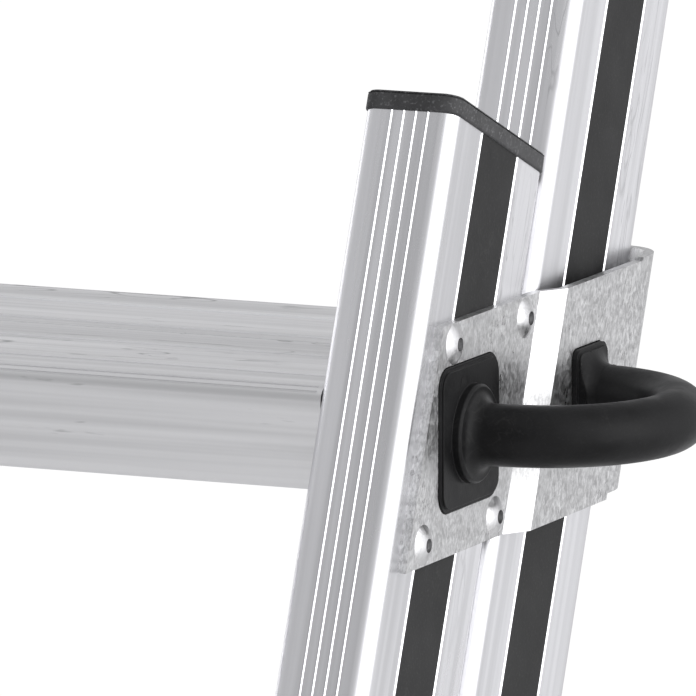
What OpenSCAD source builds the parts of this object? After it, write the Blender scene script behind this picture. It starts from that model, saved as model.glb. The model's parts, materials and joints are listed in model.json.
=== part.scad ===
// Two-section sliding attic ladder.
// The lower section stands on the floor and slides on the rear, upper section,
// which hangs from a round bar in the hatch.
// Ladder frame: x across, y is the depth n (front to back), z is the distance s along the stiles.
// The finished model leans, with level treads, and its origin is the middle of the hanging bar.

/* [Ladder] */
// Angle between the stiles and the floor, degrees
lean = 67.7; // [62:0.1:75]
// Distance between treads along the stiles
tread_pitch = 270; // [225:1:324]
// Number of treads in the lower section
lower_treads = 7; // [5:1:9]
// Number of treads in the upper section
upper_treads = 7; // [5:1:9]
// Treads of the two sections that lie side by side when extended
shared_treads = 2; // [2:1:3]
// Clear width between the stiles
clear_w = 320; // [260:1:450]
// Length of the lower stile above its top tread
lower_head = 89; // [80:1:160]
// Length of the upper stile below its bottom tread
upper_tail = 150; // [130:1:200]
// Length of the upper stile above its top tread
upper_head = 150; // [145:1:200]
// How far the rear treads sit below the front ones
level_step = 3.7; // [0:0.1:6]

/* [Stiles] */
// Width of a stile, across the ladder
stile_w = 31; // [26:0.5:40]
// Depth of a stile, front to back
stile_d = 76.5; // [63:0.5:96]
// Wall of a stile
stile_wall = 1.7; // [1.4:0.1:2.2]
// Radius of a stile's long corners
stile_r = 5; // [3:0.5:6]
// Gap between the front and the rear stiles
section_gap = 5.5; // [4.5:0.5:8]
// Spacing of the raised beads on a stile's front
bead_pitch = 4.08; // [3:0.1:5]
// Width of a bead
bead_w = 0.9; // [0.6:0.1:1.6]
// Height of a bead
bead_h = 0.36; // [0.3:0.01:0.7]
// Width of the slide strip let into a stile's outer side
strip_w = 28.6; // [20:0.1:32]
// Depth of the slide strip's recess
strip_t = 0.9; // [0.6:0.1:1.2]

/* [Treads] */
// Depth of a tread
tread_d = 80; // [66:0.5:96]
// Height of a tread
tread_h = 32; // [28:0.5:40]
// Wall of a tread
tread_wall = 1.8; // [1.4:0.1:2.5]
// Radius of a tread's nose
nose_r = 4.6; // [3:0.1:6]
// How far the nose stands back from the stile's front
nose_back = 1.4; // [1:0.1:4]

/* [Guide brackets] */
// Thickness of the sheet
sheet_t = 3; // [2:0.5:4]
// Height of a bracket
bracket_h = 72.4; // [60:0.1:90]
// Outward step of the sheet over the neighbouring stile
joggle = 5.5; // [4.5:0.5:8]
// Outer radius of the bend round the neighbouring stile
bend_r = 14.9; // [10:0.1:18]
// Space between the stile's far face and the sheet
wrap_gap = 4.2; // [3.5:0.1:8]
// Length of the flange behind the stile
flange_l = 17.5; // [12:0.5:20]
// Diameter of a rivet's head
rivet_d = 12.8; // [10:0.1:15]
// Diameter of a rivet's shank
shank_d = 6.4; // [4.8:0.1:7]
// Running clearance of the guide pads
pad_clear = 0.5; // [0.3:0.1:1]

/* [Handle] */
// Diameter of the grip
grip_d = 19.5; // [16:0.1:24]
// Distance between the handle's feet
grip_span = 82.3; // [76:0.1:94]
// Straight part of each leg, from the stile's side
leg_l = 12; // [12:0.5:24]
// Diameter of the round collar on the front foot
collar_d = 31.2; // [27:0.1:36]
// Width of the front foot
foot_w = 46.3; // [42:0.1:52]
// Height of sheet left above the front foot, and below it
foot_edge = 13.2; // [12:0.1:16]
// Width of the rear foot
heel_w = 25.2; // [22:0.1:28]
// Height of the rear foot
heel_h = 31.8; // [26:0.1:36]

/* [Hooks] */
// Diameter of the bar that the ladder hangs on
bar_d = 25; // [20:1:32]
// Thickness of a hook plate
hook_t = 6; // [4:0.5:8]
// Width of metal round the bar
hook_rim = 14; // [10:0.5:18]
// Diameter of the hook bolts
bolt_d = 8; // [6:1:10]

/* [Catches] */
// Thickness of a catch
catch_t = 4; // [3:0.5:6]
// Distance from a catch's pivot to its tip
catch_l = 62; // [56:1:64]
// Diameter of the pivot pin
pivot_d = 8; // [6:0.5:10]
// Radial clearance of the pivot
pivot_clear = 0.08; // [0.02:0.01:0.1]

/* [Feet] */
// Wall of the shoe round the stile
shoe_wall = 3; // [2.5:0.5:4]
// Height of the shoe's sleeve on the stile
shoe_h = 60; // [45:1:80]
// Thickness of the rubber sole
sole_t = 10; // [8:0.5:14]

/* [Hidden] */
$fn = 48;

// Frames
tilt = 90 - lean;
outer_x = clear_w / 2 + stile_w;
tread_run = (nose_back + tread_d + 2) * sin(lean);
section_pitch = max(stile_d + section_gap, tread_run);

// Stations along the stiles
function lower_s(i) = tread_pitch * i;
lower_len = lower_s(lower_treads) + lower_head;
rear_rise = section_pitch * cos(lean) / sin(lean) - level_step / sin(lean);
function upper_s(j) = lower_s(lower_treads - shared_treads + j) + rear_rise;
upper_from = upper_s(1) - upper_tail;
upper_to = upper_s(upper_treads) + upper_head;
guide_s = lower_len - 80;
tail_s = upper_from + 50;

// Small fits shared by neighbours
rim_proud = 0.7;
rim_h = 6.1;
rim_edge = 0.6;
plug_gap = 0.3;
plug_l = 14;
tenon_inset = 7;
lip_t = 1.5;
tenon_wall = 2;
tenon_d = min(tread_d, (stile_d - 1.5) / sin(lean));
hole_gap = 0.2;
foot_gap = 0.3;
strip_n = (stile_d - strip_w) / 2;
recess_floor = 0.8;
vee = 0.65;
vee_off = 0.85;
rivet_h = 2.3;
shank_l = 4;
bolt_head_h = 5.3;
nut_h = 6.5;

// Guide bracket outline, measured in n from the front of its own section
wrap_n = section_pitch + stile_d + wrap_gap + sheet_t;
step_from = stile_d + 3.9;
step_to = step_from + 8.8;
bracket_top = 9.8;
bracket_mid = bracket_top - bracket_h / 2;
rivet_ns = [strip_n - shank_d / 2 - 0.45, stile_d - 4.5];
rivet_zs = [bracket_top - 6.6, bracket_top - bracket_h + 6.7];
bracket_front = rivet_ns[0] - 10;
mandrel_d = 4.4;

// The part wrapped round the neighbour stands a little higher, and its lower corner is cut back
notch_n = wrap_n - bend_r - 4.8;
notch_top = 1;
notch_low = 1.9;
cut_reach = 130;

// Glide pads
pad_w = 6;
pad_h = 54;
back_pad_x = -20;
back_pad_w = 12;

// Handle places in level axes from the bracket's datum
grip_z = bracket_mid + 0.2;
foot_h = bracket_h - 2 * foot_edge;
front_foot_y = 0.442 * stile_d;
rear_foot_y = front_foot_y + grip_span;
foot_r = 6.7;
heel_r = 3.6;
foot_step = 0.8;
flange_t = 1.4;
flange_edge = 4;
foot_proud = 0.5;
heel_proud = 1.7;
heel_flare = 6;
collar_h = 3;
collar_edge = 0.8;
neck = 4.3;

// Hanging bar and hook
hook_r = bar_d / 2 + 0.5;
hook_lip = 38;
bar_n = section_pitch + stile_d + 28;
bar_s = upper_to - 25;
hook_top = upper_to - 1;
bolt_ns = [section_pitch + 17, section_pitch + stile_d - 14.5];
bolt_ss = [upper_to - 85, upper_to - 35];

// Catch pivot, just below a shared tread
catch_n = section_pitch + 20;
catch_arm_r = 10;
catch_s = lower_s(lower_treads - shared_treads + 1) - 41.5;
catch_gap = 1.5;

// Floor level in the ladder frame, measured down from the stile's front bottom corner
sole_top = -stile_d * cos(lean) - shoe_wall - 4;

// ---- frames ----

module leaned() {
    rotate([-tilt, 0, 0]) translate([0, -bar_n, -bar_s]) children();
}

// Level axes inside the ladder frame, from a point at depth n and station s
module level(n, s) {
    translate([0, n, s]) rotate([tilt, 0, 0]) children();
}

// Right-hand pieces are drawn from the right outer side face; the left ones mirror them
module on_side(side) {
    mirror([side == "left" ? 1 : 0, 0, 0]) translate([outer_x, 0, 0]) children();
}

// Extrudes an outline of depth and height along x, from x0 to x0 + width
module across(x0, width) {
    translate([x0, 0, 0]) rotate([90, 0, 90]) linear_extrude(height = width) children();
}

// ---- shared outlines ----

module rounded_rect(w, d, r) {
    translate([r, 0]) square([w - 2 * r, d]);
    translate([0, r]) square([w, d - 2 * r]);
    for (x = [r, w - r], y = [r, d - r]) translate([x, y]) circle(r);
}

// Outline of a stile grown outwards by the given amount, right outer corner line at x = 0
module stile_outline(grow) {
    translate([-stile_w - grow, -grow])
        rounded_rect(stile_w + 2 * grow, stile_d + 2 * grow, stile_r + grow);
}

module stile_section() {
    bead_mid = -stile_w * 0.489;
    bead_tip = bead_w / 4;
    difference() {
        union() {
            stile_outline(0);
            for (i = [-1.5:1:1.5])
                translate([bead_mid + i * bead_pitch, 0]) polygon([
                    [-bead_w / 2, 0],
                    [-bead_tip / 2, -bead_h],
                    [bead_tip / 2, -bead_h],
                    [bead_w / 2, 0],
                    [bead_w / 2, 1],
                    [-bead_w / 2, 1]
                ]);
        }
        stile_outline(-stile_wall);
        translate([-strip_t, strip_n]) square([2 * strip_t, strip_w]);
        for (n = [strip_n - vee_off, strip_n + strip_w + vee_off])
            translate([0, n]) polygon([[-vee, 0], [0.1, -vee - 0.1], [0.1, vee + 0.1]]);
    }
    translate([-stile_wall - recess_floor, strip_n - 2 * vee_off])
        square([recess_floor + 0.3, strip_w + 4 * vee_off]);
}

// Tread outline in level axes, nose corner at the origin, shrunk by the given inset
module tread_outline(inset, depth = tread_d) {
    back_top = depth - inset / sin(lean) - inset / tan(lean);
    back_run = (tread_h - 2 * inset) / tan(lean);
    radius = max(nose_r - inset, 0.8);
    translate([inset, -inset]) difference() {
        polygon([
            [0, 0],
            [back_top - inset, 0],
            [back_top - inset - back_run, -(tread_h - 2 * inset)],
            [0, -(tread_h - 2 * inset)]
        ]);
        difference() {
            translate([-1, -radius]) square([radius + 1, radius + 1]);
            translate([radius, -radius]) circle(radius);
        }
    }
}

// ---- treads ----

module tread_section() {
    difference() {
        union() {
            tread_outline(0);
            for (a = [22.5, 56.5])
                translate([a, 0])
                    polygon([[-2, -0.5], [-2, 0], [-1.2, 0.5], [1.2, 0.5], [2, 0], [2, -0.5]]);
        }
        tread_outline(tread_wall);
        for (a = [115, 140])
            translate([nose_r * (1 + cos(a)), nose_r * (sin(a) - 1)]) circle(0.4, $fn = 16);
        translate([tread_d - 1.4, 0]) circle(0.35, $fn = 16);
    }
}

// Tenon and flared lip that hold one end of a tread in the stile's inner wall
module tread_end() {
    across(clear_w / 2 - tread_wall, tread_wall) tread_outline(0);
    across(clear_w / 2, stile_wall + lip_t) difference() {
        tread_outline(tenon_inset, tenon_d);
        tread_outline(tenon_inset + tenon_wall, tenon_d);
    }
    across(clear_w / 2 + stile_wall, lip_t) difference() {
        tread_outline(tenon_inset - 2, tenon_d);
        tread_outline(tenon_inset + tenon_wall, tenon_d);
    }
}

module tread(front_n, s) {
    color("lightgray") level(front_n + nose_back, s) {
        across(-clear_w / 2, clear_w) tread_section();
        tread_end();
        mirror([1, 0, 0]) tread_end();
    }
}

module lower_tread(i) {
    tread(0, lower_s(i));
}

module upper_tread(j) {
    tread(section_pitch, upper_s(j));
}

// ---- stiles ----

// A hollow stile between two stations, with sockets for its treads
module stile(side, front_n, from, to, stations) {
    difference() {
        on_side(side) translate([0, front_n, from]) linear_extrude(height = to - from) stile_section();
        for (s = stations)
            level(front_n + nose_back, s) mirror([side == "left" ? 1 : 0, 0, 0])
                across(clear_w / 2 - 1, stile_wall + 2) tread_outline(tenon_inset, tenon_d);
    }
}

module lower_stile(side) {
    color("gainsboro") difference() {
        stile(side, 0, 0, lower_len, [for (i = [1:lower_treads]) lower_s(i)]);
        on_side(side) guide_rivet_places() rivet_hole();
    }
}

module upper_stile(side) {
    color("gainsboro") difference() {
        stile(side, section_pitch, upper_from, upper_to, [for (j = [1:upper_treads]) upper_s(j)]);
        on_side(side) {
            tail_rivet_places() rivet_hole();
            bolt_places() bolt_hole(-stile_w, stile_w);
            translate([-stile_w, catch_n, catch_s]) rotate([0, 90, 0])
                translate([0, 0, -1]) cylinder(d = pivot_d + 2 * hole_gap, h = stile_wall + 2);
        }
    }
}

module strip(side, front_n, from, to) {
    color("dimgray") on_side(side)
        translate([-strip_t, front_n + strip_n, from]) cube([strip_t, strip_w, to - from]);
}

module lower_strip(side) {
    strip(side, 0, 0, lower_len);
}

// The bolts go through the strip where the stile is narrow
module upper_strip(side) {
    difference() {
        strip(side, section_pitch, upper_from, upper_to);
        on_side(side) bolt_places() bolt_hole(-stile_w, stile_w);
    }
}

// Moulded plug with a rim that stands slightly proud of the stile
module cap_shape() {
    linear_extrude(height = rim_h - rim_edge) stile_outline(rim_proud);
    translate([0, 0, rim_h - rim_edge])
        linear_extrude(height = rim_edge) stile_outline(rim_proud - rim_edge);
    translate([0, 0, -plug_l]) linear_extrude(height = plug_l) difference() {
        plug_outline(0);
        plug_outline(2);
    }
}

// Inside of the stile less a small gap, clear of the thick floor of the strip recess
module plug_outline(inset) {
    edge = stile_wall + plug_gap + inset;
    side_edge = edge + recess_floor;
    corner = max(stile_r - edge, 0.6);
    translate([-stile_w + edge, edge])
        rounded_rect(stile_w - edge - side_edge, stile_d - 2 * edge, corner);
}

module lower_cap(side) {
    color("#2b2b2d") on_side(side) translate([0, 0, lower_len]) cap_shape();
}

module upper_cap(side) {
    color("#2b2b2d") on_side(side) translate([0, section_pitch, upper_to]) cap_shape();
}

module end_cap(side) {
    color("#2b2b2d") on_side(side)
        translate([0, section_pitch, upper_from]) mirror([0, 0, 1]) cap_shape();
}

// ---- feet ----

// A sleeve round the stile's end over a block whose underside is level
module shoe(side) {
    color("#303032") on_side(side) difference() {
        translate([0, 0, -60]) linear_extrude(height = 60 + shoe_h) stile_outline(shoe_wall);
        linear_extrude(height = shoe_h + 1) {
            stile_outline(0);
            translate([-stile_w + 4, -bead_h]) square([stile_w - 8, stile_d / 2]);
        }
        level(0, 0) translate([-stile_w - 10, -120, sole_top - 120]) cube([stile_w + 20, 320, 120]);
        for (n = [22, stile_d - 12])
            translate([-stile_w / 2, n, -62]) cylinder(d = 12, h = 60);
    }
}

// Rubber sole under the level block, with grip ribs across it
module sole(side) {
    front_y = -shoe_wall / sin(lean) + sole_top / tan(lean);
    back_y = (stile_d + shoe_wall) / sin(lean) + sole_top / tan(lean);
    run = back_y - front_y;
    rib_pitch = 10;
    color("#1f1f20") on_side(side) level(0, 0)
        translate([-stile_w - shoe_wall - 2, front_y - 3, sole_top - sole_t]) difference() {
            linear_extrude(height = sole_t) rounded_rect(stile_w + 2 * shoe_wall + 4, run + 6, 5);
            for (y = [rib_pitch:rib_pitch:run - 2])
                translate([-1, y, -1]) cube([stile_w + 2 * shoe_wall + 6, 3, 3.5]);
        }
}

// ---- guide brackets ----

// Bent sheet seen along the stile: flat on its own stile, stepped out, wrapped behind the next
module sheet_section() {
    square_n = wrap_n - bend_r;
    translate([0, bracket_front]) square([sheet_t, step_from - bracket_front]);
    polygon([
        [0, step_from],
        [sheet_t, step_from],
        [joggle + sheet_t, step_to],
        [joggle, step_to]
    ]);
    translate([joggle, step_to]) square([sheet_t, square_n - step_to]);
    translate([joggle + sheet_t - bend_r, square_n]) intersection() {
        difference() {
            circle(bend_r, $fn = 96);
            circle(bend_r - sheet_t, $fn = 96);
        }
        square(bend_r);
    }
    translate([joggle + sheet_t - bend_r - flange_l, wrap_n - sheet_t]) square([flange_l, sheet_t]);
}

// Extrudes an outline along the stile and keeps what lies between two level heights
module level_cut(s, low, high) {
    intersection() {
        translate([0, 0, s - cut_reach]) linear_extrude(height = 2 * cut_reach) children();
        level(0, s) translate([-cut_reach, -cut_reach, low])
            cube([2 * cut_reach, 4 * cut_reach, high - low]);
    }
}

// The whole bent sheet, turned end for end when it belongs to the upper section
module sheet(s, turned) {
    low = bracket_top - bracket_h;
    level_cut(s, low, bracket_top) turned(turned) intersection() {
        sheet_section();
        translate([-cut_reach, 0]) square([2 * cut_reach, notch_n]);
    }
    level_cut(s, low + notch_low, bracket_top + notch_top) turned(turned) intersection() {
        sheet_section();
        translate([-cut_reach, notch_n]) square([2 * cut_reach, wrap_n]);
    }
}

// Turns an outline of the lower section end for end, for the upper section's lower end
module turned(yes) {
    translate([0, yes ? section_pitch + stile_d : 0]) mirror([0, yes ? 1 : 0]) children();
}

// Block outline in level axes, centred on the given point, extruded along x
module foot_block(x0, depth, y, w, h, r) {
    translate([0, y - w / 2, grip_z - h / 2]) across(x0, depth) rounded_rect(w, h, r);
}

module guide_rivet_places() {
    for (n = rivet_ns, z = rivet_zs)
        translate([0, n, guide_s + (z + n * cos(lean)) / sin(lean)]) children();
}

module tail_rivet_places() {
    for (tail_n = rivet_ns, z = rivet_zs) {
        n = section_pitch + stile_d - tail_n;
        translate([0, n, tail_s + (z + n * cos(lean)) / sin(lean)]) children();
    }
}

module guide_bracket(side) {
    color("#b9bdc0") on_side(side) difference() {
        sheet(guide_s, false);
        level(0, guide_s) {
            foot_block(-1, sheet_t + 2, front_foot_y, foot_w, foot_h, foot_r);
            foot_block(joggle - 1, sheet_t + 2, rear_foot_y, heel_w, heel_h, heel_r);
        }
        guide_rivet_places() rivet_hole();
    }
}

module tail_bracket(side) {
    color("#b9bdc0") on_side(side) difference() {
        sheet(tail_s, true);
        tail_rivet_places() rivet_hole();
    }
}

// Hole for a rivet through the sheet and the stile's outer wall
module rivet_hole() {
    translate([-stile_wall - shank_l - 1, 0, 0]) rotate([0, 90, 0])
        cylinder(d = shank_d + 2 * hole_gap, h = stile_wall + shank_l + sheet_t + 3);
}

// Blind rivet: domed head with the mandrel's hole, and a shank that ends inside the stile
module rivet() {
    dome_r = (rivet_d * rivet_d / 4 + rivet_h * rivet_h) / (2 * rivet_h);
    rotate([0, 90, 0]) difference() {
        union() {
            translate([0, 0, sheet_t]) rotate_extrude() intersection() {
                translate([0, rivet_h - dome_r]) circle(dome_r, $fn = 128);
                square([rivet_d, rivet_h + 1]);
            }
            translate([0, 0, -stile_wall - shank_l])
                cylinder(d = shank_d, h = stile_wall + shank_l + sheet_t + 0.5);
        }
        translate([0, 0, sheet_t - 1]) cylinder(d = mandrel_d, h = rivet_h + 2);
    }
}

module guide_rivets(side) {
    color("silver") on_side(side) guide_rivet_places() rivet();
}

module tail_rivets(side) {
    color("silver") on_side(side) tail_rivet_places() rivet();
}

// Glide pads seen along the stile: two against its side, one behind it
module pads_section() {
    for (n = [step_to + 1.3, section_pitch + stile_d - 16])
        translate([pad_clear, n]) square([joggle - pad_clear, pad_w]);
    translate([back_pad_x, section_pitch + stile_d + pad_clear])
        square([back_pad_w, wrap_gap - pad_clear]);
}

module pads_cut(s) {
    level_cut(s, bracket_mid - pad_h / 2, bracket_mid + pad_h / 2) children();
}

// The guide pads have a shallow pocket where the flange of the handle's rear foot reaches them
module guide_pads(side) {
    color("#38383a") on_side(side) difference() {
        pads_cut(guide_s) pads_section();
        level(0, guide_s) rear_flange(foot_gap);
    }
}

// The tail pad in front of the lower stile also clears the beads
module tail_pads(side) {
    color("#38383a") on_side(side) difference() {
        pads_cut(tail_s) turned(true) pads_section();
        translate([-stile_w, -bead_h - pad_clear, tail_s - cut_reach])
            cube([stile_w, stile_r, 2 * cut_reach]);
    }
}

// ---- handle ----

// Ring that flares out at its base and runs out into the grip, from x0 outwards
module flare_ring(x0, y, r) {
    translate([x0, y, grip_z]) rotate([0, 90, 0]) rotate_extrude() difference() {
        square([grip_d / 2 + r, r]);
        translate([grip_d / 2 + r, r]) circle(r);
    }
}

// Foot that fills its cut-out in the sheet, with a stepped rim, from seat_x out to face_x
module handle_foot(y, w, h, r, seat_x, face_x) {
    fit = 2 * foot_gap;
    rim = fit + 3 * foot_step;
    foot_block(seat_x, face_x - seat_x, y, w - fit, h - fit, r - foot_gap);
    foot_block(face_x, foot_step, y, w - rim, h - rim, r - foot_gap - 1);
}

// Front foot: flat, with a round collar
module front_foot() {
    face_x = sheet_t + foot_proud;
    collar_x = face_x + foot_step;
    handle_foot(front_foot_y, foot_w, foot_h, foot_r, 0, face_x);
    translate([collar_x, front_foot_y, grip_z]) rotate([0, 90, 0]) {
        cylinder(d = collar_d, h = collar_h - collar_edge);
        translate([0, 0, collar_h - collar_edge])
            cylinder(d1 = collar_d, d2 = collar_d - 2 * collar_edge, h = collar_edge);
    }
    flare_ring(collar_x + collar_h, front_foot_y, neck);
}

// Flange of the rear foot behind the sheet, grown by the given gap
module rear_flange(gap) {
    foot_block(joggle - flange_t - gap, flange_t + gap, rear_foot_y,
        heel_w + flange_edge + 2 * gap, heel_h + flange_edge + 2 * gap, heel_r + 1);
}

// Rear foot: a deeper block that draws in to the grip, with a flange behind the sheet
module rear_foot() {
    face_x = joggle + sheet_t + heel_proud;
    handle_foot(rear_foot_y, heel_w, heel_h, heel_r, joggle - flange_t, face_x);
    rear_flange(0);
    intersection() {
        flare_ring(face_x + foot_step, rear_foot_y, heel_flare);
        foot_block(face_x, 2 * heel_flare, rear_foot_y, heel_w - 3, heel_h - 3, heel_r - 1.3);
    }
}

module handle(side) {
    bend = grip_span / 2;
    color("#2a2a2c") on_side(side) level(0, guide_s) {
        front_foot();
        rear_foot();
        for (y = [front_foot_y, rear_foot_y])
            translate([sheet_t, y, grip_z]) rotate([0, 90, 0]) cylinder(d = grip_d, h = leg_l - sheet_t);
        translate([leg_l, front_foot_y + bend, grip_z]) rotate([0, 0, -90])
            rotate_extrude(angle = 180, $fn = 96) translate([bend, 0]) circle(d = grip_d);
    }
}

// ---- stops, hooks and catches ----

// Block on the rear of the upper stile that the guide flange rests on when extended
module stop(side) {
    flange_n = section_pitch + stile_d + wrap_gap;
    flange_low = bracket_top - bracket_h + notch_low;
    top = guide_s + (flange_low + flange_n * cos(lean)) / sin(lean) - 1;
    stop_h = 26;
    color("#38383a") on_side(side)
        translate([back_pad_x, section_pitch + stile_d, top - stop_h]) difference() {
            cube([back_pad_w, wrap_gap + sheet_t, stop_h]);
            translate([back_pad_w / 2, wrap_gap, stop_h / 2]) rotate([-90, 0, 0])
                cylinder(d = 8, h = sheet_t + 1);
        }
}

// Hook plate seen from the side: a bolted shank, an arm, and a round seat with a level slot below it.
// Straight edges run a hair inside the round ones, so that they cross and never just touch.
module hook_outline() {
    reach = hook_r + hook_rim;
    hair = 0.05;
    rear_n = section_pitch + stile_d;
    hook_low = bolt_ss[0] - 17;
    difference() {
        union() {
            translate([section_pitch + 8, hook_low]) square([stile_d - 16, hook_top - hook_low]);
            translate([rear_n - 20, bar_s - reach + hair])
                square([bar_n - rear_n + 20, hook_top - bar_s + reach - hair]);
            translate([bar_n, bar_s]) {
                circle(reach, $fn = 96);
                rotate(tilt) polygon([
                    [hook_r - 1, 0],
                    [hook_r - 1, -hook_lip],
                    [reach - 5, -hook_lip],
                    [reach - hair, -hook_lip + 5],
                    [reach - hair, 0]
                ]);
            }
        }
        translate([bar_n, bar_s]) {
            circle(hook_r, $fn = 96);
            rotate(tilt) translate([-hook_r + hair, -hook_lip - 1])
                square([2 * (hook_r - hair), hook_lip + 1]);
        }
    }
}

module bolt_places() {
    for (n = bolt_ns, s = bolt_ss) translate([0, n, s]) children();
}

// Clearance hole through a wall from x0 to x0 + depth
module bolt_hole(x0, depth) {
    translate([x0 - 1, 0, 0]) rotate([0, 90, 0]) cylinder(d = bolt_d + 2 * hole_gap, h = depth + 2);
}

module hook(side) {
    color("#b9bdc0") on_side(side) difference() {
        across(-stile_w - hook_t, hook_t) hook_outline();
        bolt_places() bolt_hole(-stile_w - hook_t, hook_t);
    }
}

module hook_bolts(side) {
    color("silver") on_side(side) bolt_places() rotate([0, 90, 0]) {
        cylinder(d = bolt_d * 1.84, h = bolt_head_h, $fn = 6);
        translate([0, 0, -stile_w - hook_t - nut_h - 3])
            cylinder(d = bolt_d, h = stile_w + hook_t + nut_h + 3);
    }
}

module hook_nuts(side) {
    color("silver") on_side(side) bolt_places()
        translate([-stile_w - hook_t - nut_h, 0, 0]) rotate([0, 90, 0]) difference() {
            cylinder(d = bolt_d * 1.84, h = nut_h, $fn = 6);
            translate([0, 0, -1]) cylinder(d = bolt_d + 0.1, h = nut_h + 2);
        }
}

// Swinging catch, hanging down beside the stile at rest
module catch(side) {
    x0 = -stile_w - catch_gap - catch_t;
    color("#c9a227") on_side(side) translate([0, catch_n, catch_s]) {
        across(x0, catch_t) difference() {
            union() {
                circle(catch_arm_r + 3);
                translate([-catch_arm_r, -catch_l + catch_arm_r])
                    square([2 * catch_arm_r, catch_l - catch_arm_r]);
                translate([0, -catch_l + catch_arm_r]) circle(catch_arm_r);
            }
            circle(pivot_d / 2 + pivot_clear);
        }
        translate([x0 - 12, 0, -catch_l + catch_arm_r + 2]) rotate([0, 90, 0]) cylinder(d = 9, h = 12);
    }
}

// Shouldered pin set in the stile's inner wall
module pivot_pin(side) {
    head_x = -stile_w - catch_gap - catch_t - 0.3;
    color("silver") on_side(side) translate([0, catch_n, catch_s]) rotate([0, 90, 0]) {
        translate([0, 0, head_x - 2.5]) cylinder(d = pivot_d + 8, h = 2.5);
        translate([0, 0, head_x]) cylinder(d = pivot_d, h = -head_x - stile_w + stile_wall + 2);
        translate([0, 0, -stile_w - catch_gap + 0.3]) cylinder(d = pivot_d + 6, h = catch_gap - 0.3);
        translate([0, 0, -stile_w + stile_wall]) cylinder(d = pivot_d + 4, h = 2);
    }
}

// ---- nodes ----

module build(name) {
    leaned() children();
}

for (side = ["left", "right"]) {
    build(str("lower_stile_", side)) lower_stile(side);
    build(str("lower_strip_", side)) lower_strip(side);
    build(str("lower_cap_", side)) lower_cap(side);
    build(str("shoe_", side)) shoe(side);
    build(str("sole_", side)) sole(side);
    build(str("guide_bracket_", side)) guide_bracket(side);
    build(str("guide_rivets_", side)) guide_rivets(side);
    build(str("guide_pads_", side)) guide_pads(side);
    build(str("handle_", side)) handle(side);
    build(str("upper_stile_", side)) upper_stile(side);
    build(str("upper_strip_", side)) upper_strip(side);
    build(str("upper_cap_", side)) upper_cap(side);
    build(str("end_cap_", side)) end_cap(side);
    build(str("tail_bracket_", side)) tail_bracket(side);
    build(str("tail_rivets_", side)) tail_rivets(side);
    build(str("tail_pads_", side)) tail_pads(side);
    build(str("stop_", side)) stop(side);
    build(str("hook_", side)) hook(side);
    build(str("hook_bolts_", side)) hook_bolts(side);
    build(str("hook_nuts_", side)) hook_nuts(side);
    build(str("catch_", side)) catch(side);
    build(str("pivot_pin_", side)) pivot_pin(side);
}
for (i = [1:lower_treads]) build(str("lower_tread_", i)) lower_tread(i);
for (j = [1:upper_treads]) build(str("upper_tread_", j)) upper_tread(j);
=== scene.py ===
"""Studio scene of a two-section sliding attic ladder in mill-finish aluminium.

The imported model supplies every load-bearing piece. This script dresses each one with a procedural
finish, adds the small moulded and riveted details, and sets up the camera, the lights and the floor.
"""

import json
import logging
import math
from dataclasses import dataclass, field
from enum import Enum

import bmesh
import bpy
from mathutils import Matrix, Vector


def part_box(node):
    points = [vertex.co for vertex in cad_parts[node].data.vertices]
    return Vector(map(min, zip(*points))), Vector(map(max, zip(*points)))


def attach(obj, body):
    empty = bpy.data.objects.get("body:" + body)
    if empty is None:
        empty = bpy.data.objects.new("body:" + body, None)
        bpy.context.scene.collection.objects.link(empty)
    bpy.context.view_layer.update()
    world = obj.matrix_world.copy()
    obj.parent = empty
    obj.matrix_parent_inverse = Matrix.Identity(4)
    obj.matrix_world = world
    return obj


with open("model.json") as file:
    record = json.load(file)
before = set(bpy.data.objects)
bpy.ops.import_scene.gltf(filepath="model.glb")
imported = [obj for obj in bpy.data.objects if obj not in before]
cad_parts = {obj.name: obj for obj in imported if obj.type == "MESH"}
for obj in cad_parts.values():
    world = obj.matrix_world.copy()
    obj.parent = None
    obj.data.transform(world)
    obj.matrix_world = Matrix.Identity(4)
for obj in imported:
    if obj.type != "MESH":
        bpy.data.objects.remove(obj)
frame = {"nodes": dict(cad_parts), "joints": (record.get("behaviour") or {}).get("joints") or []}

LOG = logging.getLogger("attic_ladder")
MM = 0.001
WELD = 0.002 * MM


class Side(Enum):
    """The two sides of the ladder."""

    LEFT = "left"
    RIGHT = "right"


class Grain(Enum):
    """The way the fine lines of a drawn or rolled surface run."""

    ALONG_STILE = "along the stile"
    ACROSS_LADDER = "across the ladder"


def stile_direction() -> Vector:
    """Find which way the stiles lean.

    Returns:
        The unit vector up the stiles, which is the axis of the sections' slide.
    """
    slide = next(joint for joint in frame["joints"] if joint["type"] == "slide")
    return Vector(slide["axis"]).normalized()


STILE_UP = stile_direction()
TILT = math.atan2(STILE_UP.y, STILE_UP.z)


# ---------------------------------------------------------------- shader plumbing


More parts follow.
